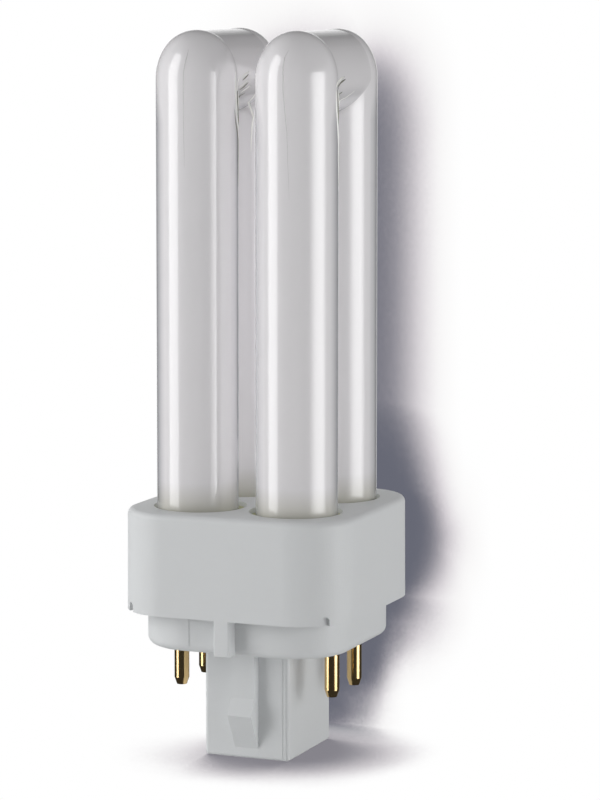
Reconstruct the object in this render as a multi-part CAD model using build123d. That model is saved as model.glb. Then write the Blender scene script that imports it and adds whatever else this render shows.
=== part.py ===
from build123d import *
import os
from math import atan2, cos, pi, sin, sqrt

# Four pin compact fluorescent lamp with a plug-in cap.
# Sizes in mm. Z runs along the lamp, up from the flat end of its locating post.
# The key on the skirt looks along -Y, and the contact pins stand in pairs at -X and +X.

# Lengths along the lamp
overall_height = 103.0
post_height = 16.0
skirt_height = 5.3
collar_height = 14.5

# Glass burner
limb_radius = 5.8
limb_gap = 3.5
crown_cap_inset = 0.45
crown_shoulder_swell = 2.0
bend_waist = 0.12
bend_wall = 0.3
bend_belly = 5.0
neck_radius = 2.4
neck_lift = 5.5
tube_insert = 6.8
closed_end_depth = 3.0
closed_end_taper = 2.0
seal_shoulder = 2.4
seal_length = 3.4
seal_width = 7.6
seal_thickness = 2.2

# Collar
collar_rim = 3.65
collar_corner = 7.7
collar_wall = 1.4
collar_plate = 1.6
collar_edge = 0.9
collar_draft = 0.25
hole_clearance = 0.8
hole_inset = 0.25
notch_width = 1.3
notch_height = 1.3
notch_depth = 0.6
stop_rib_width = 1.2
stop_rib_depth = 2.2
stop_rib_offset = 1.6

# Base cap
skirt_gap_x = 0.5
skirt_gap_y = 0.95
skirt_corner = 8.2
skirt_wall = 1.2
skirt_edge = 1.2
spigot_gap = 0.5
floor_thickness = 1.6
post_width = 12.9
post_depth = 15.7
post_wall = 1.2
post_end_wall = 1.4
post_corner = 0.5
post_end_edge = 0.4
parting_inset = 0.9
parting_width = 0.5
parting_line = 0.12
skirt_line_place = 5.85
key_width = 2.25
key_lift = 0.2
key_edge = 0.15

# Latch ribs on the front and back of the post
latch_width = 3.6
latch_shank = 1.6
latch_nose = 2.8
latch_nose_height = 6.6
latch_ramp = 2.35
latch_toe_height = 1.5

# Snap lugs that hold the collar on the cap
snap_width = 5.0
snap_bite = 0.5
snap_lift = 1.1
snap_height = 1.6
snap_play = 0.1

# Contact pins and their wires
pin_radius = 1.07
pin_inset = 3.5
pin_spacing = 8.7
pin_reach = 6.85
pin_taper = 1.0
pin_tip_radius = 0.72
pin_bore = 0.45
pin_dimple = 0.5
pin_head_radius = 1.6
pin_head = 0.5
pin_shank_radius = 1.3
pin_shank_drop = 0.15
pin_play = 0.02
boss_radius = 2.1
boss_height = 2.0
wire_radius = 0.25
wire_pitch = 3.2
wire_plunge = 2.4

# Cement that bonds the tube ends in the collar
cement_margin = 0.5
cement_depth = 2.6
cement_recess = 0.7
bond_gap = 0.02

# Heights that follow
skirt_bottom = post_height
floor_top = skirt_bottom + floor_thickness
collar_bottom = skirt_bottom + skirt_height
collar_top = collar_bottom + collar_height
plate_bottom = collar_top - collar_plate
limb_bottom = collar_top - tube_insert
closed_end = limb_bottom - closed_end_depth
seal_bottom = limb_bottom - seal_shoulder - seal_length
spigot_top = closed_end - spigot_gap
pin_top = floor_top + boss_height + pin_head

# Widths that follow
limb_pitch = 2 * limb_radius + limb_gap
limb_place = limb_pitch / 2
collar_half = limb_place + limb_radius + collar_rim
cavity_half = collar_half - collar_wall
cavity_corner = collar_corner - collar_wall
hole_place = limb_place - hole_inset
hole_radius = limb_radius + hole_clearance
cement_radius = hole_radius + cement_margin
skirt_half_x = cavity_half - skirt_gap_x
skirt_half_y = cavity_half - skirt_gap_y
post_half_y = post_depth / 2
pin_row_x = skirt_half_x - pin_inset

# Names and signs of the four corners
corners = {
    "front_left": (-1, -1),
    "front_right": (1, -1),
    "back_left": (-1, 1),
    "back_right": (1, 1),
}

above = (Align.CENTER, Align.CENTER, Align.MIN)


def rounded_block(half_x, half_y, corner, low, high, taper=0.0):
    """An upright block with rounded corners between two heights."""
    outline = Plane.XY.offset(low) * RectangleRounded(2 * half_x, 2 * half_y, corner)
    return extrude(outline, high - low, taper=taper)


def upright(radius, x, y, low, high):
    """A round bar standing along Z."""
    return Pos(x, y, low) * Cylinder(radius, high - low, align=above)


def bar_between(x_low, x_high, y_low, y_high, z_low, z_high):
    """A rectangular bar given by its limits."""
    size = (x_high - x_low, y_high - y_low, z_high - z_low)
    return Pos(x_low, y_low, z_low) * Box(*size, align=(Align.MIN,) * 3)


def crown_joins(half_width, top):
    """Heights and joins of the crown's outline, whose cap and shoulder arcs meet smoothly."""
    cap_radius = half_width - crown_cap_inset
    shoulder_radius = half_width + crown_shoulder_swell
    cap_middle = top - cap_radius
    reach = shoulder_radius - cap_radius
    base = cap_middle - sqrt(reach**2 - crown_shoulder_swell**2)
    lean = atan2(cap_middle - base, crown_shoulder_swell)
    halfway = (lean + pi / 2) / 2
    join = (cap_radius * cos(lean), cap_middle + cap_radius * sin(lean))
    on_cap = (cap_radius * cos(halfway), cap_middle + cap_radius * sin(halfway))
    on_shoulder = (
        shoulder_radius * cos(lean / 2) - crown_shoulder_swell,
        base + shoulder_radius * sin(lean / 2),
    )
    return base, on_shoulder, join, on_cap


def shoulder_edge(half_width, top, side):
    """Shoulder arc from the straight wall up to the cap, on the side of -x or +x."""
    base, on_shoulder, join, on_cap = crown_joins(half_width, top)
    return ThreePointArc(
        (side * half_width, base), (side * on_shoulder[0], on_shoulder[1]), (side * join[0], join[1])
    )


def glass_limb(y):
    """Straight limb whose round top has the same outline as the bend."""
    base, on_shoulder, join, on_cap = crown_joins(limb_radius, overall_height)
    shoulder = shoulder_edge(limb_radius, overall_height, 1)
    cap = ThreePointArc(shoulder @ 1, on_cap, (0, overall_height))
    walls = Polyline((0, overall_height), (0, limb_bottom), (limb_radius, limb_bottom), shoulder @ 0)
    outline = make_face(shoulder + cap + walls)
    return Pos(0, y, 0) * Rot(0, 0, 90) * revolve(Plane.XZ * outline, Axis.Z)


def bend_bridge():
    """Level part of the bend: pressed cap and shoulders above, a round belly below."""
    half_width = limb_radius - bend_waist
    top = overall_height - bend_waist
    base, on_shoulder, join, on_cap = crown_joins(half_width, top)
    left = shoulder_edge(half_width, top, -1)
    right = shoulder_edge(half_width, top, 1)
    wall_end = base - bend_wall
    belly_ends = [(side * half_width, wall_end) for side in (-1, 1)]
    cap = ThreePointArc(left @ 1, (0, top), right @ 1)
    belly = ThreePointArc(belly_ends[0], (0, wall_end - bend_belly), belly_ends[1])
    walls = Line(belly_ends[0], left @ 0) + Line(belly_ends[1], right @ 0)
    return extrude(Plane.XZ * make_face(left + right + cap + belly + walls), limb_place, both=True)


def bent_tube():
    """One glass tube bent into a U from front to back, its axis plane at x = 0."""
    tube = bend_bridge()
    for y in (-limb_place, limb_place):
        tube += glass_limb(y)
    return tube


def pinch_seal():
    """Flattened end of a limb round the electrode wires."""
    shoulder = loft(
        [
            Plane.XY.offset(limb_bottom) * Circle(limb_radius),
            Plane.XY.offset(limb_bottom - seal_shoulder)
            * SlotOverall(seal_width, seal_thickness),
        ]
    )
    tail = extrude(
        Plane.XY.offset(limb_bottom - seal_shoulder) * SlotOverall(seal_width, seal_thickness),
        -seal_length,
    )
    return shoulder + tail


def closed_tip():
    """Tapered end of a limb with no electrode."""
    tip = upright(limb_radius, 0, 0, closed_end, limb_bottom)
    return chamfer(tip.faces().sort_by(Axis.Z)[0].edges(), closed_end_taper)


def discharge_tube():
    """Both bent tubes, joined behind by a short neck, with their sealed ends."""
    glass = None
    for x in (-limb_place, limb_place):
        bend = Pos(x, 0, 0) * bent_tube()
        bend += Pos(x, -limb_place, 0) * pinch_seal()
        bend += Pos(x, limb_place, 0) * closed_tip()
        glass = bend if glass is None else glass + bend
    neck = Pos(0, limb_place, collar_top + neck_lift) * Rot(0, 90, 0)
    glass += neck * Cylinder(neck_radius, limb_pitch)
    return glass


def corner_notches():
    """Small arched nicks in the collar's lower edge, one at each corner."""
    arch = Rectangle(notch_width, notch_height - notch_width / 2, align=(Align.CENTER, Align.MIN))
    arch += Pos(0, notch_height - notch_width / 2) * Circle(notch_width / 2)
    slot = extrude(Plane.XZ * arch, 2 * notch_depth)
    straight = collar_half - collar_corner
    start = collar_corner - notch_depth
    notches = []
    for number, (sx, sy) in enumerate(((1, -1), (1, 1), (-1, 1), (-1, -1))):
        turn = 45 + 90 * number
        place = Pos(sx * straight, sy * straight, collar_bottom) * Rot(0, 0, turn)
        notches.append(place * Pos(0, -start, 0) * slot)
    return notches


def snap_bars(play):
    """One bar across the middle of each side, between the skirt and the collar."""
    half = snap_width / 2 + play
    low = collar_bottom + snap_lift - play
    high = collar_bottom + snap_lift + snap_height + play
    outer = cavity_half + snap_bite - snap_play + play
    bars = []
    for side in (-1, 1):
        inner_x, inner_y = skirt_half_x - skirt_wall / 2, skirt_half_y - skirt_wall / 2
        x_low, x_high = sorted((side * inner_x, side * outer))
        y_low, y_high = sorted((side * inner_y, side * outer))
        bars.append(bar_between(x_low, x_high, -half, half, low, high))
        bars.append(bar_between(-half, half, y_low, y_high, low, high))
    return bars


def stop_ribs():
    """Ribs inside the collar that stand on the rim of the cap."""
    ribs = []
    inner = cavity_half - stop_rib_depth
    outer = cavity_half + collar_wall / 2
    for side in (-1, 1):
        for offset in (-stop_rib_offset, stop_rib_offset):
            low, high = offset - stop_rib_width / 2, offset + stop_rib_width / 2
            near, far = sorted((side * inner, side * outer))
            ribs.append(bar_between(near, far, low, high, spigot_top, plate_bottom))
            ribs.append(bar_between(low, high, near, far, spigot_top, plate_bottom))
    return ribs


def tube_collar():
    """Moulded collar: four holes in its top plate, open below."""
    body = rounded_block(
        collar_half, collar_half, collar_corner, collar_bottom, collar_top, collar_draft
    )
    top_edges = body.faces().sort_by(Axis.Z)[-1].edges()
    body = fillet(top_edges, collar_edge)
    body -= rounded_block(
        cavity_half, cavity_half, cavity_corner, collar_bottom, plate_bottom, collar_draft
    )
    body += stop_ribs()
    for sx, sy in corners.values():
        body -= upright(hole_radius, sx * hole_place, sy * hole_place, plate_bottom, collar_top)
    body -= corner_notches()
    body -= snap_bars(snap_play)
    return body


def latch_rib(side):
    """Snap rib on the post's front (-1) or back (1) face."""
    face = 0.0
    ramp_top = latch_nose_height + latch_ramp
    outline = Polyline(
        (face, latch_toe_height),
        (latch_nose, latch_nose_height),
        (latch_shank, ramp_top),
        (latch_shank, skirt_bottom),
        (face - post_wall / 2, skirt_bottom),
        (face - post_wall / 2, latch_toe_height),
        close=True,
    )
    rib = extrude(Plane.YZ * make_face(outline), latch_width / 2, both=True)
    placed = Pos(0, post_half_y, 0) * rib
    return placed if side > 0 else mirror(placed, about=Plane.XZ)


def locating_post():
    """Rectangular plug below the skirt, with its latch ribs and mould lines."""
    post = rounded_block(post_width / 2, post_half_y, post_corner, 0, skirt_bottom)
    post = fillet(post.faces().sort_by(Axis.Z)[0].edges(), min(post_end_edge, post_end_wall / 2))
    edge = post_width / 2 - parting_inset
    for y in (-post_half_y, post_half_y):
        for x in (edge, edge + parting_width):
            post -= Pos(x, y, skirt_bottom / 2) * Box(parting_line, parting_line, skirt_bottom)
    post += [latch_rib(-1), latch_rib(1)]
    return post


def pin_places():
    """Name and place of each contact pin."""
    for name, (sx, sy) in corners.items():
        yield name, sx * pin_row_x, sy * pin_spacing / 2


def key_block():
    """Coding key on the front of the skirt, flush with the collar above it."""
    block = bar_between(
        -key_width / 2, key_width / 2, -collar_half, skirt_wall - skirt_half_y,
        skirt_bottom + key_lift, collar_bottom,
    )
    front = block.faces().sort_by(Axis.Y)[0]
    return chamfer(front.edges().filter_by(Axis.Z) + front.edges().sort_by(Axis.Z)[:1], key_edge)


def base_cap():
    """Moulded cap: skirt, floor with pin bosses, key and hollow locating post."""
    skirt = rounded_block(skirt_half_x, skirt_half_y, skirt_corner, skirt_bottom, spigot_top)
    skirt = fillet(skirt.faces().sort_by(Axis.Z)[0].edges(), skirt_edge)
    skirt -= rounded_block(
        skirt_half_x - skirt_wall, skirt_half_y - skirt_wall, skirt_corner - skirt_wall,
        floor_top, spigot_top,
    )
    line = Pos(-skirt_line_place, -skirt_half_y, spigot_top / 2)
    skirt -= line * Box(parting_line, parting_line, spigot_top)
    cap = skirt + locating_post() + key_block()
    cap += snap_bars(0)
    cap -= rounded_block(
        post_width / 2 - post_wall, post_half_y - post_wall, post_corner, post_end_wall, spigot_top
    )
    for name, x, y in pin_places():
        cap += upright(boss_radius, x, y, floor_top, floor_top + boss_height)
    for name, x, y in pin_places():
        hole = pin_shank_radius + pin_play
        cap -= upright(hole, x, y, skirt_bottom - skirt_edge, floor_top + boss_height)
    return cap


def contact_pin(x, y):
    """Hollow turned pin: crimped tip below, head on its boss above."""
    tip = skirt_bottom - pin_reach
    head_bottom = pin_top - pin_head
    outline = Polyline(
        (pin_bore, tip + pin_dimple),
        (pin_bore, tip),
        (pin_tip_radius, tip),
        (pin_radius, tip + pin_taper),
        (pin_radius, skirt_bottom - pin_shank_drop),
        (pin_shank_radius, skirt_bottom - pin_shank_drop),
        (pin_shank_radius, head_bottom),
        (pin_head_radius, head_bottom),
        (pin_head_radius, pin_top),
        (pin_bore, pin_top),
        (pin_bore, pin_top - wire_plunge - pin_dimple),
        (0, pin_top - wire_plunge - pin_dimple),
        (0, tip + pin_dimple),
        close=True,
    )
    return Pos(x, y, 0) * revolve(Plane.XZ * make_face(outline), Axis.Z)


def lead_wire(sx, sy, x, y):
    """Wire from a seal, across the cap and down into the top of its pin."""
    seal_x = sx * limb_place + sx * (-sy) * wire_pitch / 2
    seal_y = -limb_place
    turn = (seal_bottom + pin_top) / 2
    route = Polyline(
        (seal_x, seal_y, seal_bottom),
        (seal_x, seal_y, turn),
        (x, y, turn),
        (x, y, pin_top - wire_plunge),
    )
    wire = Plane(route @ 0, z_dir=route % 0) * Circle(wire_radius)
    return sweep(wire, path=route, transition=Transition.RIGHT)


def tube_cement(sx, sy):
    """Bead of cement round one limb, under the collar's plate and up into its hole."""
    x, y = sx * hole_place, sy * hole_place
    bead = upright(cement_radius, x, y, plate_bottom - cement_depth, plate_bottom)
    bead += upright(hole_radius - bond_gap, x, y, plate_bottom, collar_top - cement_recess)
    limb = upright(
        limb_radius + bond_gap, sx * limb_place, sy * limb_place, limb_bottom, collar_top
    )
    return bead - limb


parts = {
    "discharge_tube": discharge_tube(),
    "tube_collar": tube_collar(),
    "base_cap": base_cap(),
}
for name, x, y in pin_places():
    sx, sy = corners[name]
    parts["contact_pin_" + name] = contact_pin(x, y)
    parts["lead_wire_" + name] = lead_wire(sx, sy, x, y)
    parts["tube_cement_" + name] = tube_cement(sx, sy)

os.makedirs("parts", exist_ok=True)
for name, shape in parts.items():
    export_step(shape, "parts/" + name + ".step")
    print(name, round(shape.volume, 1), len(shape.solids()))
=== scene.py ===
import math

import bmesh
import bpy
from mathutils import Matrix, Vector


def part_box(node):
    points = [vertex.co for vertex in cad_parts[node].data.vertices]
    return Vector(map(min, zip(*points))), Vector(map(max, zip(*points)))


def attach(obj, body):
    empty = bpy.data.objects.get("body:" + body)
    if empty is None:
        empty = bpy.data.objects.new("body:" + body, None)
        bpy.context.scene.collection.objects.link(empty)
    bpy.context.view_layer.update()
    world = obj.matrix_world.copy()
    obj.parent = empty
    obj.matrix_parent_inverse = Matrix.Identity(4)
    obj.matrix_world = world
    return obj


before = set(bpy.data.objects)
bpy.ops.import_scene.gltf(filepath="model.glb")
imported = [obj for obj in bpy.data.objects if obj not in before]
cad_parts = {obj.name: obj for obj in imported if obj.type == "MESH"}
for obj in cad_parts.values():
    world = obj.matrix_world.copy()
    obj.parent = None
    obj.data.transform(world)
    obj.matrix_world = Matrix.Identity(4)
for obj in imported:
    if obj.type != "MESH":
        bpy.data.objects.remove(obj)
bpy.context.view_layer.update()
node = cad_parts
MM = 0.001


# Glass burner
# Two tubes of soda-lime glass, each softened and bent over into a U, joined by a short blown neck.
# The clear wall is fire polished; the white powder baked on its inside shows through it.

COAT_WHITE = "#E4E2E4"
# The edge grey is painted shade, laid into the colour where a limb turns away from the eye.
COAT_EDGE_SHADE = "#A2A3A8"
COAT_FOOT = "#E2E2D6"
# The powder itself is far finer. Its grain is drawn this coarse so that it shows.
COAT_GRAIN = 0.25 * MM
COAT_LETS_THROUGH = 0.9
EDGE_SHADE_FROM = 0.40
EDGE_SHADE_TO = 0.85
FOOT_TINT_HEIGHT = 4 * MM
GLASS_IOR = 1.52
CREASE_RADIUS = 2 * MM
# Above the crown foot the painted edge shade fades down to the crown's share.
CROWN_FOOT = 90 * MM
CROWN_FADE = 6 * MM
CROWN_EDGE_SHADE = 0.55


def linear(hex_colour):
    """An sRGB hex colour as linear RGBA."""
    parts = [int(hex_colour[i:i + 2], 16) / 255 for i in (1, 3, 5)]
    return [c / 12.92 if c <= 0.04045 else ((c + 0.055) / 1.055) ** 2.4 for c in parts] + [1.0]


def add(tree, kind, settings=None, links=None):
    """One shader node, with its properties and sockets set and its inputs linked to outputs."""
    made = tree.nodes.new(kind)
    for key, value in (settings or {}).items():
        if isinstance(key, str) and hasattr(made, key):
            setattr(made, key, value)
        else:
            made.inputs[key].default_value = value
    for key, output in (links or {}).items():
        tree.links.new(output, made.inputs[key])
    return made


def blank_material(name):
    """A node material with an empty tree."""
    made = bpy.data.materials.new(name)
    made.use_nodes = True
    made.node_tree.nodes.clear()
    return made, made.node_tree


def set_ramp(ramp, stops):
    """Gives a colour ramp its stops, as pairs of place and sRGB hex colour."""
    elements = ramp.color_ramp.elements
    while len(elements) < len(stops):
        elements.new(1.0)
    for element, (place, colour) in zip(elements, stops):
        element.position = place
        element.color = linear(colour)
    return ramp


def coated_glass():
    """Powder coated lamp glass: a soft white body under a clear polished skin, with a greener foot.
    A thin grey line of painted shade marks the edge of each limb, where the eye looks along the clear
    wall. The powder lets light through, so the limbs hardly shade each other, and the creases look
    soft."""
    made, tree = blank_material("powder_coated_lamp_glass")
    place = add(tree, "ShaderNodeTexCoord")
    split = add(tree, "ShaderNodeSeparateXYZ", None, {"Vector": place.outputs["Object"]})
    # Painted shade: the colour greys towards each limb's outline, less on the crowns.
    turn = add(tree, "ShaderNodeLayerWeight", {"Blend": 0.5})
    limb = add(tree, "ShaderNodeMapRange", {
        "From Min": CROWN_FOOT, "From Max": CROWN_FOOT + CROWN_FADE,
        "To Min": 1.0, "To Max": CROWN_EDGE_SHADE}, {"Value": split.outputs["Z"]})
    edge = add(tree, "ShaderNodeMath", {"operation": "MULTIPLY"}, {
        0: turn.outputs["Facing"], 1: limb.outputs["Result"]})
    wall = add(tree, "ShaderNodeValToRGB", None, {"Fac": edge.outputs["Value"]})
    set_ramp(wall, [(EDGE_SHADE_FROM, COAT_WHITE), (EDGE_SHADE_TO, COAT_EDGE_SHADE)])
    collar_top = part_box("tube_collar")[1].z
    foot = add(tree, "ShaderNodeMapRange", {
        "From Min": collar_top + FOOT_TINT_HEIGHT, "From Max": collar_top},
        {"Value": split.outputs["Z"]})
    colour = add(tree, "ShaderNodeMix", {
        "data_type": "RGBA", "blend_type": "MULTIPLY", 7: linear(COAT_FOOT)},
        {0: foot.outputs["Result"], 6: wall.outputs["Color"]})
    grain = add(tree, "ShaderNodeTexNoise", {"Scale": 1 / COAT_GRAIN, "Detail": 2.0},
                {"Vector": place.outputs["Object"]})
    soft = add(tree, "ShaderNodeBevel", {"samples": 6, "Radius": CREASE_RADIUS})
    skin = add(tree, "ShaderNodeBump", {"Strength": 0.06, "Distance": 0.02 * MM},
               {"Height": grain.outputs["Fac"], "Normal": soft.outputs["Normal"]})
    shader = add(tree, "ShaderNodeBsdfPrincipled", {
        "Roughness": 0.26, "IOR": GLASS_IOR, "Coat Weight": 1.0, "Coat Roughness": 0.02,
        "Coat IOR": GLASS_IOR}, {"Base Color": colour.outputs[2], "Normal": skin.outputs["Normal"]})
    ray = add(tree, "ShaderNodeLightPath")
    passing = add(tree, "ShaderNodeMath", {"operation": "MULTIPLY", 1: COAT_LETS_THROUGH},
                  {0: ray.outputs["Is Shadow Ray"]})
    clear = add(tree, "ShaderNodeBsdfTransparent")
    glass = add(tree, "ShaderNodeMixShader", None, {
        0: passing.outputs["Value"], 1: shader.outputs[0], 2: clear.outputs[0]})
    add(tree, "ShaderNodeOutputMaterial", None, {"Surface": glass.outputs[0]})
    return made


burner = node["discharge_tube"]
burner.data.materials[0] = coated_glass()


# Folds in the bends
# Where each tube was bent hot, the glass of its inner corners wrinkled and drew out in thin ripples.
# They are the same glass. The pale ones are whitened as painted glints; the dark ones have no powder
# behind them and look olive, darkened further as painted shade beside the pale ones.

# Pale is a painted glint; dark is olive bare glass darkened as painted shade.
FOLD_OLIVE_SHADE = "#77766A"
FOLD_PALE_GLINT = "#FAFAF6"
BEAD_SIDES = 12
BEAD_STEP = 0.35 * MM
BEAD_SUNK = 0.35
BEAD_SWELL = 0.6
BEAD_TIP = 0.12
TIP_INSET = 0.4

LIMB_GAP = 3.5 * MM
LIMB_RADIUS = 5.8 * MM
LIMB_PLACE = LIMB_RADIUS + LIMB_GAP / 2

# Each fold on a wall of the front bend: its points, its widest radius and its colour.
# A point is a distance behind the lamp's middle and a height, both in mm, as the radius is.
INNER_FOLDS = {
    "long_left": (((-7.2, 97.2), (-7.3, 96.0), (-7.2, 93.3), (-6.8, 90.7), (-6.1, 89.2),
                   (-5.5, 87.5), (-5.4, 80.4)), 0.22, FOLD_PALE_GLINT),
    "long_right": (((-5.7, 96.6), (-6.5, 94.8), (-5.7, 93.5), (-5.2, 91.8), (-4.8, 87.9)),
                   0.17, FOLD_PALE_GLINT),
    "long_shade": (((-7.7, 92.0), (-7.3, 90.1), (-6.6, 88.6), (-6.0, 86.8), (-5.9, 81.0)),
                   0.13, FOLD_OLIVE_SHADE),
    "braid_shade": (((-6.2, 95.7), (-6.5, 94.2), (-6.2, 92.4), (-5.7, 90.4), (-5.3, 88.6)),
                    0.15, FOLD_OLIVE_SHADE),
    "ripple_high": (((-5.0, 96.2), (-3.6, 96.7), (-2.1, 97.1)), 0.14, FOLD_PALE_GLINT),
    "ripple_high_shade": (((-4.6, 95.9), (-3.4, 96.3), (-2.4, 96.7)), 0.12, FOLD_OLIVE_SHADE),
    "ripple_middle": (((-5.4, 94.8), (-3.9, 95.3), (-2.5, 95.9)), 0.15, FOLD_PALE_GLINT),
    "ripple_middle_shade": (((-4.9, 94.4), (-3.6, 94.9), (-2.4, 95.5)), 0.14, FOLD_OLIVE_SHADE),
    "ripple_low": (((-4.1, 93.8), (-2.5, 94.5), (-1.2, 95.0)), 0.15, FOLD_PALE_GLINT),
    "ripple_low_shade": (((-4.6, 93.0), (-3.3, 93.3), (-2.2, 93.7)), 0.11, FOLD_OLIVE_SHADE),
    "teardrop": (((1.6, 94.6), (1.7, 93.0), (1.5, 91.2), (1.0, 89.2), (0.8, 87.2), (0.7, 85.4)),
                 0.15, FOLD_PALE_GLINT),
}
OUTER_FOLDS = {
    "curl": (((-7.4, 95.2), (-6.9, 95.7), (-6.1, 96.0), (-5.1, 96.4), (-3.9, 96.6)),
             0.22, FOLD_PALE_GLINT),
    "curl_shade": (((-6.2, 95.1), (-5.5, 95.7), (-4.6, 96.0), (-3.6, 96.2)), 0.16, FOLD_OLIVE_SHADE),
    "long_left": (((-7.4, 95.2), (-7.3, 93.0), (-6.7, 90.0), (-6.3, 88.3), (-6.1, 86.5),
                   (-6.1, 80.9)), 0.20, FOLD_PALE_GLINT),
    "long_band": (((-6.7, 94.9), (-6.5, 92.8), (-6.4, 91.4), (-6.2, 90.0)), 0.22, FOLD_OLIVE_SHADE),
    "long_right": (((-5.7, 94.9), (-5.7, 92.8), (-5.9, 91.8)), 0.12, FOLD_PALE_GLINT),
    "long_shade": (((-6.1, 89.4), (-5.7, 87.6), (-5.5, 85.6), (-5.5, 81.4)), 0.12, FOLD_OLIVE_SHADE),
    "dash": (((-4.9, 93.9), (-3.8, 94.2)), 0.11, FOLD_OLIVE_SHADE),
    "diagonal": (((-4.9, 91.7), (-3.4, 92.2), (-1.9, 92.7), (-0.3, 93.5), (1.1, 94.3)),
                 0.09, FOLD_PALE_GLINT),
}

# The folds that the back bends have too, on their inner walls.
BACK_FOLDS = ("long_left", "long_right", "long_shade", "ripple_middle")


def polished_glass(name, colour):
    """A ripple of lamp glass: one colour under a bright fire polished skin."""
    made, tree = blank_material(name)
    shader = add(tree, "ShaderNodeBsdfPrincipled", {
        "Base Color": linear(colour), "Roughness": 0.12, "IOR": GLASS_IOR, "Coat Weight": 1.0,
        "Coat Roughness": 0.02, "Coat IOR": GLASS_IOR})
    add(tree, "ShaderNodeOutputMaterial", None, {"Surface": shader.outputs[0]})
    return made


def curve_through(points, parts):
    """A smooth path that passes through every point, with a number of parts between neighbours."""
    ends = [2 * points[0] - points[1]] + points + [2 * points[-1] - points[-2]]
    path = []
    for a, b, c, d in zip(ends, ends[1:], ends[2:], ends[3:]):
        for part in range(parts):
            t = part / parts
            path.append(0.5 * (2 * b + (c - a) * t + (2 * a - 5 * b + 4 * c - d) * t ** 2
                               + (3 * b - a - 3 * c + d) * t ** 3))
    return path + [points[-1]]


def on_glass(place):
    """The nearest point of the glass, and the way out of it there."""
    point, normal = burner.closest_point_on_mesh(place)[1:3]
    return point, normal.normalized()


def glass_bead(name, points, radius, material):
    """A ripple along the glass, thin at both ends: a ring extruded from step to step."""
    length = sum((b - a).length for a, b in zip(points, points[1:]))
    parts = max(2, round(length / BEAD_STEP / (len(points) - 1)))
    route = [on_glass(point) for point in curve_through(points, parts)]
    stations = []
    for number, (point, normal) in enumerate(route):
        before, after = route[max(number - 1, 0)][0], route[min(number + 1, len(route) - 1)][0]
        along = (after - before).normalized()
        across = along.cross(normal).normalized()
        along_bead = (number + TIP_INSET) / (len(route) - 1 + 2 * TIP_INSET)
        size = radius * max(math.sin(math.pi * along_bead) ** BEAD_SWELL, BEAD_TIP)
        turn = Matrix((across, along.cross(across), along)).transposed().to_4x4()
        centre = point - normal * size * BEAD_SUNK
        stations.append(Matrix.Translation(centre) @ turn @ Matrix.Scale(size, 4))
    shape = bmesh.new()
    bmesh.ops.create_circle(shape, segments=BEAD_SIDES, radius=1.0, matrix=stations[0])
    ring = shape.edges[:]
    first_ring = list(ring)
    for before, after in zip(stations, stations[1:]):
        made = bmesh.ops.extrude_edge_only(shape, edges=ring)["geom"]
        ring = [item for item in made if isinstance(item, bmesh.types.BMEdge)]
        corners = [item for item in made if isinstance(item, bmesh.types.BMVert)]
        bmesh.ops.transform(shape, matrix=after @ before.inverted(), verts=corners)
    rim = set(corners)
    last_ring = [edge for edge in ring if all(corner in rim for corner in edge.verts)]
    bmesh.ops.edgeloop_fill(shape, edges=first_ring)
    bmesh.ops.edgeloop_fill(shape, edges=last_ring)
    bmesh.ops.recalc_face_normals(shape, faces=shape.faces)
    for face in shape.faces:
        face.smooth = True
    mesh = bpy.data.meshes.new(name)
    shape.to_mesh(mesh)
    shape.free()
    mesh.materials.append(material)
    bead = bpy.data.objects.new(name, mesh)
    bpy.context.scene.collection.objects.link(bead)
    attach(bead, "root")


# One glass whitened as a painted glint, one olive and darkened as painted shade.
fold_glass = {FOLD_PALE_GLINT: polished_glass("folded_lamp_glass_painted_glint", FOLD_PALE_GLINT),
              FOLD_OLIVE_SHADE: polished_glass("folded_lamp_glass_bare_and_painted_shade", FOLD_OLIVE_SHADE)}
for tube, middle, outward in (("left", -LIMB_PLACE, -1), ("right", LIMB_PLACE, 1)):
    for wall, side, folds in (("inner", -outward, INNER_FOLDS), ("outer", outward, OUTER_FOLDS)):
        wall_x = middle + side * LIMB_RADIUS
        for bend, facing in (("front", 1), ("back", -1)):
            for fold, (points, radius, colour) in folds.items():
                if bend == "front" or (wall == "inner" and fold in BACK_FOLDS):
                    places = [Vector((wall_x, facing * y * MM, z * MM)) for y, z in points]
                    glass_bead(f"{fold}_{tube}_{wall}_{bend}", places, radius * MM,
                               fold_glass[colour])


# Mould seams
# A fine raised line in the glass runs down each limb from the crown. It was formed where the two
# halves of the bending mould met.

# The seam's grey is painted shade along the raised line.
SEAM_SHADE_GREY = "#CBCACA"
SEAM_RADIUS = 0.07 * MM

# Each seam's points on a front limb: how far right of the limb's middle, and a height, in mm.
SEAMS = {
    "left": ((1.27, 102.3), (1.0, 100.5), (0.85, 99.0), (0.7, 96.9), (0.7, 90.6), (0.8, 84.0)),
    "right": ((1.2, 102.3), (0.65, 100.9), (0.35, 99.0), (0.35, 97.2), (0.5, 95.1), (0.9, 90.9),
              (1.3, 86.8), (1.6, 80.0)),
}

seam_shade_glass = polished_glass("lamp_glass_seam_painted_shade", SEAM_SHADE_GREY)
for tube, middle in (("left", -LIMB_PLACE), ("right", LIMB_PLACE)):
    for limb, facing in (("front", -1), ("back", 1)):
        outside_y = facing * 2 * LIMB_PLACE
        places = [Vector((middle - facing * x * MM, outside_y, z * MM)) for x, z in SEAMS[tube]]
        glass_bead(f"seam_{tube}_{limb}", places, SEAM_RADIUS, seam_shade_glass)


# Collar and base cap
# Both are injection moulded in white glass-filled polyester, and the collar snaps over the cap.
# The moulds were spark eroded, so the skin is an even, very fine matt.

POLYESTER_WHITE = "#D2D4D5"
# The real grain is about 0.1 mm, too fine to show, so it is drawn coarser.
SPARK_GRAIN = 0.3 * MM


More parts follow.
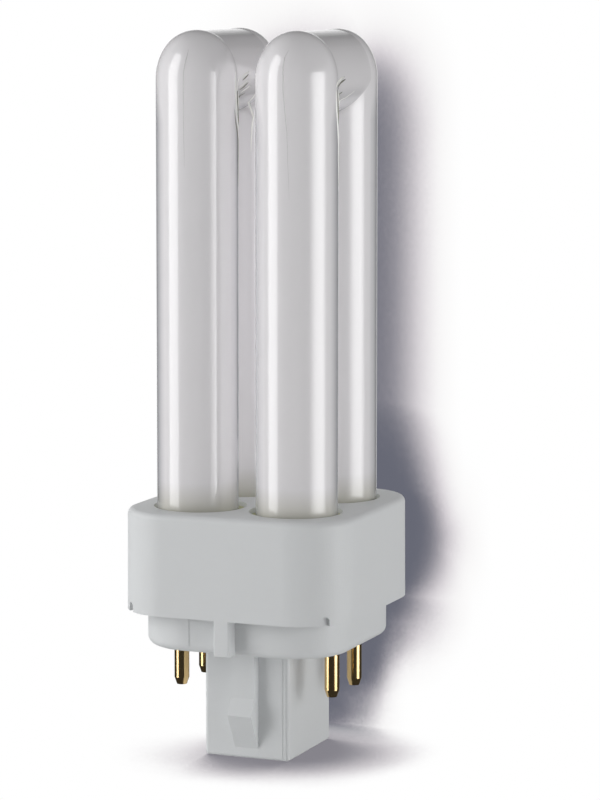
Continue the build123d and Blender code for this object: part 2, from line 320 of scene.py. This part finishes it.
def moulded_polyester():
    """Spark textured polyester: a dull sheen with a fine grain that softens every edge."""
    made, tree = blank_material("moulded_polyester")
    place = add(tree, "ShaderNodeTexCoord")
    grain = add(tree, "ShaderNodeTexNoise", {
        "Scale": 1 / SPARK_GRAIN, "Detail": 3.0, "Roughness": 0.6},
        {"Vector": place.outputs["Object"]})
    skin = add(tree, "ShaderNodeBump", {"Strength": 0.5, "Distance": 0.04 * MM},
               {"Height": grain.outputs["Fac"]})
    shader = add(tree, "ShaderNodeBsdfPrincipled", {
        "Base Color": linear(POLYESTER_WHITE), "Roughness": 0.48, "IOR": 1.5},
        {"Normal": skin.outputs["Normal"]})
    add(tree, "ShaderNodeOutputMaterial", None, {"Surface": shader.outputs[0]})
    return made


polyester = moulded_polyester()
for name in ("tube_collar", "base_cap"):
    node[name].data.materials[0] = polyester


# Contact pins
# Hollow pins turned from drawn brass, pressed through the cap's floor and crimped at the tip.

BRASS = "#E4C58E"
CORNERS = ("front_left", "front_right", "back_left", "back_right")


def drawn_brass():
    """Bright turned brass: a clear mirror-like yellow with dark and light stripes along the pin."""
    made, tree = blank_material("drawn_brass")
    shader = add(tree, "ShaderNodeBsdfPrincipled", {
        "Base Color": linear(BRASS), "Metallic": 1.0, "Roughness": 0.16})
    add(tree, "ShaderNodeOutputMaterial", None, {"Surface": shader.outputs[0]})
    return made


pin_brass = drawn_brass()
for corner in CORNERS:
    node["contact_pin_" + corner].data.materials[0] = pin_brass


# Lead wires
# Nickel-plated iron wires from the two electrodes, drawn through the pins and soldered in.

NICKEL_PLATE = "#C9C5BD"


def nickel_plated_wire():
    """Plated wire: a soft warm-grey metal."""
    made, tree = blank_material("nickel_plated_wire")
    shader = add(tree, "ShaderNodeBsdfPrincipled", {
        "Base Color": linear(NICKEL_PLATE), "Metallic": 1.0, "Roughness": 0.32})
    add(tree, "ShaderNodeOutputMaterial", None, {"Surface": shader.outputs[0]})
    return made


wire_plate = nickel_plated_wire()
for corner in CORNERS:
    node["lead_wire_" + corner].data.materials[0] = wire_plate


# Tube cement
# Baked capping cement round the tube ends, seen as a yellow-green edge in the gaps of the collar.

CEMENT_BUFF = "#B3B48E"


def capping_cement():
    """Baked lamp cement: a dull, dry buff."""
    made, tree = blank_material("capping_cement")
    shader = add(tree, "ShaderNodeBsdfPrincipled", {
        "Base Color": linear(CEMENT_BUFF), "Roughness": 0.7, "IOR": 1.5})
    add(tree, "ShaderNodeOutputMaterial", None, {"Surface": shader.outputs[0]})
    return made


baked_cement = capping_cement()
for corner in CORNERS:
    node["tube_cement_" + corner].data.materials[0] = baked_cement


# Camera
# A long lens half a metre off, that looks down a little, 22 degrees to the right of the coding key.
# Its film is shifted, so that the lamp stands where it does in the photograph.

CAMERA_PLACE = (0.18585, -0.44473, 0.11369)
CAMERA_PITCH = 5.749
CAMERA_YAW = 22.134
CAMERA_LENS = 153.41
CAMERA_SENSOR = 36.0
CAMERA_SHIFT = -0.13

camera_data = bpy.data.cameras.new("camera")
camera_data.lens = CAMERA_LENS
camera_data.sensor_width = CAMERA_SENSOR
camera_data.shift_y = CAMERA_SHIFT
camera = bpy.data.objects.new("camera", camera_data)
camera.location = CAMERA_PLACE
camera.rotation_euler = (math.radians(90 - CAMERA_PITCH), 0, math.radians(CAMERA_YAW))
bpy.context.scene.collection.objects.link(camera)
bpy.context.scene.camera = camera


# Softboxes and silk panel
# A tall strip softbox stands in front of the lamp on its left, and a dimmer one, which gives no
# glint, at its left side. A wide silk panel, bright in its middle, stands at its right side.

LIGHT_DISTANCE = 0.6
LIGHT_HEIGHT = 0.25
LIGHT_TALL = 0.75
STRIP_AZIMUTH = -47
STRIP_WIDE = 0.32
STRIP_POWER = 2.65
SIDE_AZIMUTH = -88
SIDE_WIDE = 0.4
SIDE_POWER = 1.5
SILK_AZIMUTH = 84
SILK_WIDE = 0.62
SILK_TALL = 0.36
SILK_HEIGHT = 0.06
SILK_GLOW = 4.3
SILK_MIDDLE = (0.35, 0.70)


def beside_lamp(azimuth, height):
    """Place and turn of a light round the lamp: azimuth 0 faces the coding key, 90 is at +X."""
    angle = math.radians(azimuth)
    place = Vector((math.sin(angle), -math.cos(angle), 0)) * LIGHT_DISTANCE + Vector((0, 0, height))
    return place, (Vector((0, 0, height)) - place).to_track_quat("-Z", "Y")


def softbox(name, azimuth, wide, power):
    """A tall strip softbox that faces the lamp."""
    place, turn = beside_lamp(azimuth, LIGHT_HEIGHT)
    data = bpy.data.lights.new(name, "AREA")
    data.shape = "RECTANGLE"
    data.size = wide
    data.size_y = LIGHT_TALL
    data.energy = power
    box = bpy.data.objects.new(name, data)
    box.location, box.rotation_euler = place, turn.to_euler()
    bpy.context.scene.collection.objects.link(box)
    return box


softbox("strip_softbox", STRIP_AZIMUTH, STRIP_WIDE, STRIP_POWER)
side = softbox("side_softbox", SIDE_AZIMUTH, SIDE_WIDE, SIDE_POWER)
side.visible_glossy = False


def glowing_silk():
    """White silk lit from behind: brightest along its middle and fading to its side edges."""
    made, tree = blank_material("glowing_silk")
    place = add(tree, "ShaderNodeTexCoord")
    split = add(tree, "ShaderNodeSeparateXYZ", None, {"Vector": place.outputs["Object"]})
    across = add(tree, "ShaderNodeMapRange", {
        "From Min": -SILK_WIDE / 2, "From Max": SILK_WIDE / 2}, {"Value": split.outputs["X"]})
    glow = add(tree, "ShaderNodeValToRGB", None, {"Fac": across.outputs["Result"]})
    set_ramp(glow, [(0.0, "#000000"), (SILK_MIDDLE[0], "#FFFFFF"), (SILK_MIDDLE[1], "#FFFFFF"),
                    (1.0, "#000000")])
    light = add(tree, "ShaderNodeEmission", {"Strength": SILK_GLOW},
                {"Color": glow.outputs["Color"]})
    add(tree, "ShaderNodeOutputMaterial", None, {"Surface": light.outputs[0]})
    return made


silk_place, silk_turn = beside_lamp(SILK_AZIMUTH, SILK_HEIGHT)
shape = bmesh.new()
bmesh.ops.create_grid(shape, x_segments=1, y_segments=1, size=0.5)
bmesh.ops.scale(shape, vec=(SILK_WIDE, SILK_TALL, 1.0), verts=shape.verts)
mesh = bpy.data.meshes.new("silk_panel")
shape.to_mesh(mesh)
shape.free()
mesh.materials.append(glowing_silk())
silk = bpy.data.objects.new("silk_panel", mesh)
silk.location, silk.rotation_euler = silk_place, silk_turn.to_euler()
silk.visible_camera = False
silk.visible_shadow = False
bpy.context.scene.collection.objects.link(silk)


# Room
# Pure white where the camera looks past the lamp, and where the lamp mirrors what is behind it.
# Black flags keep its outlines dark, and the grey studio, paler at the back, lights it softly.

ROOM_FRONT = 0.12
ROOM_BACK = 0.54
ROOM_TURN = (-0.6, 0.9)
FLAG_BLACK = 0.04
FLAG_EDGE = (-0.99, -0.91)

world = bpy.data.worlds.new("studio_room")
world.use_nodes = True
tree = world.node_tree
tree.nodes.clear()
path = add(tree, "ShaderNodeLightPath")
white_wall = add(tree, "ShaderNodeBackground", {"Color": (1, 1, 1, 1), "Strength": 1.0})
direction = add(tree, "ShaderNodeTexCoord")
yaw = math.radians(CAMERA_YAW)
front = (math.sin(yaw), -math.cos(yaw), 0.0)
toward_camera = add(tree, "ShaderNodeVectorMath", {"operation": "DOT_PRODUCT", 1: front},
                    {0: direction.outputs["Generated"]})
level = add(tree, "ShaderNodeMapRange", {
    "interpolation_type": "SMOOTHSTEP", "From Min": ROOM_TURN[0], "From Max": ROOM_TURN[1],
    "To Min": ROOM_BACK, "To Max": ROOM_FRONT}, {"Value": toward_camera.outputs["Value"]})
mirrored = add(tree, "ShaderNodeMapRange", {
    "From Min": FLAG_EDGE[0], "From Max": FLAG_EDGE[1], "To Min": 1.0, "To Max": FLAG_BLACK},
    {"Value": toward_camera.outputs["Value"]})
strength = add(tree, "ShaderNodeMix", {"data_type": "FLOAT"}, {
    0: path.outputs["Is Glossy Ray"], 2: level.outputs["Result"], 3: mirrored.outputs["Result"]})
room = add(tree, "ShaderNodeBackground", {"Color": (1, 1, 1, 1)}, {"Strength": strength.outputs[0]})
straight = add(tree, "ShaderNodeMath", {"operation": "MAXIMUM"}, {
    0: path.outputs["Is Camera Ray"], 1: path.outputs["Is Transmission Ray"]})
both = add(tree, "ShaderNodeMixShader", None, {
    0: straight.outputs["Value"], 1: room.outputs[0], 2: white_wall.outputs[0]})
add(tree, "ShaderNodeOutputWorld", None, {"Surface": both.outputs[0]})
bpy.context.scene.world = world


# Paper floor and card
# The lamp stands on white paper, with a card of it close behind, both with a painted grey shadow.
# Only the camera sees the card, and only from its front, so that the lamp shows from every side.

PAPER_WHITE = "#F4F4F4"
FLOOR_SIZE = 1.5
CARD_BEHIND = 17.4 * MM
CARD_HALF_WIDE = 0.16
CARD_TALL = 0.24

picture_left = Vector((-math.cos(yaw), -math.sin(yaw), 0))
picture_depth = Vector((-math.sin(yaw), math.cos(yaw), 0))
up = Vector((0, 0, 1))

# Each painted shadow: how far it reaches, which way a spot looks for what hides the light, and the
# spot's tone by how open it is. The card's deepens down to the floor, and passes into the floor's
# over the first part of the floor.
CARD_REACH = 13 * MM
CARD_LOOKS = Vector((0, -1, 0)) + picture_left * 0.7 - up * 0.2
CARD_SHADOW_TONES = ((0.43, "#676975"), (0.50, "#7F7E87"), (0.545, "#A19EA5"), (0.64, "#DBD5DA"),
              (0.72, "#F3F1F2"), (0.80, "#FAF9F9"), (0.95, "#FFFFFF"))
CARD_DEEPER = 4.1
CARD_DEEPER_BELOW = 20 * MM
FLOOR_REACH = 22 * MM
FLOOR_LOOKS = up + picture_left * 0.6 + picture_depth * 0.9
TOWARD_LAMP = 0.4 / (10 * MM)
FLOOR_SHADOW_TONES = ((0.42, "#86848B"), (0.50, "#98969C"), (0.58, "#B8B4B9"), (0.66, "#DEDADD"),
               (0.75, "#FFFFFF"))
PASS_TO_FLOOR = 10 * MM
OPEN_SAMPLES = 24


def white_paper():
    """Matt white paper with a painted soft contact shadow, falling away from the softbox side."""
    made, tree = blank_material("matt_white_paper_painted_shadow")
    path = add(tree, "ShaderNodeLightPath")
    ground = add(tree, "ShaderNodeNewGeometry")
    apart = add(tree, "ShaderNodeSeparateXYZ", None, {"Vector": ground.outputs["Position"]})

    def how_open(looks, toward_lamp, reach):
        """How open a spot is that looks one way, and more toward the lamp the further off it is."""
        turned = add(tree, "ShaderNodeVectorMath", {
            "operation": "MULTIPLY_ADD", 1: Vector((-toward_lamp, -toward_lamp, 0)), 2: looks},
            {0: ground.outputs["Position"]})
        unit = add(tree, "ShaderNodeVectorMath", {"operation": "NORMALIZE"},
                   {0: turned.outputs["Vector"]})
        open_share = add(tree, "ShaderNodeAmbientOcclusion", {
            "samples": OPEN_SAMPLES, "Distance": reach}, {"Normal": unit.outputs["Vector"]})
        return open_share.outputs["AO"]

    power = add(tree, "ShaderNodeMapRange", {
        "From Min": CARD_DEEPER_BELOW, "From Max": 0.0, "To Min": 1.0, "To Max": CARD_DEEPER},
        {"Value": apart.outputs["Z"]})
    deepened = add(tree, "ShaderNodeMath", {"operation": "POWER"}, {
        0: how_open(CARD_LOOKS, 0.0, CARD_REACH), 1: power.outputs["Result"]})
    card_painted_shadow = add(tree, "ShaderNodeValToRGB", None, {"Fac": deepened.outputs["Value"]})
    set_ramp(card_painted_shadow, CARD_SHADOW_TONES)
    floor_painted_shadow = add(tree, "ShaderNodeValToRGB", None, {
        "Fac": how_open(FLOOR_LOOKS, TOWARD_LAMP, FLOOR_REACH)})
    set_ramp(floor_painted_shadow, FLOOR_SHADOW_TONES)
    on_floor = add(tree, "ShaderNodeMapRange", {
        "From Min": CARD_BEHIND, "From Max": CARD_BEHIND - PASS_TO_FLOOR},
        {"Value": apart.outputs["Y"]})
    # The camera sees paper toned by how open it is: a painted shadow, not one that the lamps cast.
    card_seen = add(tree, "ShaderNodeEmission", {"Strength": 1.0},
                    {"Color": card_painted_shadow.outputs["Color"]})
    floor_seen = add(tree, "ShaderNodeEmission", {"Strength": 1.0},
                     {"Color": floor_painted_shadow.outputs["Color"]})
    seen = add(tree, "ShaderNodeMixShader", None, {
        0: on_floor.outputs["Result"], 1: card_seen.outputs[0], 2: floor_seen.outputs[0]})
    matt = add(tree, "ShaderNodeBsdfDiffuse", {"Color": linear(PAPER_WHITE)})
    paper = add(tree, "ShaderNodeMixShader", None, {
        0: path.outputs["Is Camera Ray"], 1: matt.outputs[0], 2: seen.outputs[0]})
    clear = add(tree, "ShaderNodeBsdfTransparent")
    front_only = add(tree, "ShaderNodeMixShader", None, {
        0: ground.outputs["Backfacing"], 1: paper.outputs[0], 2: clear.outputs[0]})
    add(tree, "ShaderNodeOutputMaterial", None, {"Surface": front_only.outputs[0]})
    return made


def paper_sheet(name, corners, material):
    """A flat sheet with the given corners, facing the side from which they run anticlockwise."""
    shape = bmesh.new()
    shape.faces.new([shape.verts.new(corner) for corner in corners])
    mesh = bpy.data.meshes.new(name)
    shape.to_mesh(mesh)
    shape.free()
    mesh.materials.append(material)
    sheet = bpy.data.objects.new(name, mesh)
    sheet.visible_glossy = False
    sheet.visible_shadow = False
    bpy.context.scene.collection.objects.link(sheet)
    return sheet


paper = white_paper()
paper_sheet("floor", [(-FLOOR_SIZE, -FLOOR_SIZE, 0), (FLOOR_SIZE, -FLOOR_SIZE, 0),
                      (FLOOR_SIZE, FLOOR_SIZE, 0), (-FLOOR_SIZE, FLOOR_SIZE, 0)], paper)
card = paper_sheet("backdrop_card", [
    (-CARD_HALF_WIDE, CARD_BEHIND, 0), (CARD_HALF_WIDE, CARD_BEHIND, 0),
    (CARD_HALF_WIDE, CARD_BEHIND, CARD_TALL), (-CARD_HALF_WIDE, CARD_BEHIND, CARD_TALL)], paper)
card.visible_diffuse = False
card.visible_transmission = False

bpy.context.scene.view_settings.view_transform = "Standard"
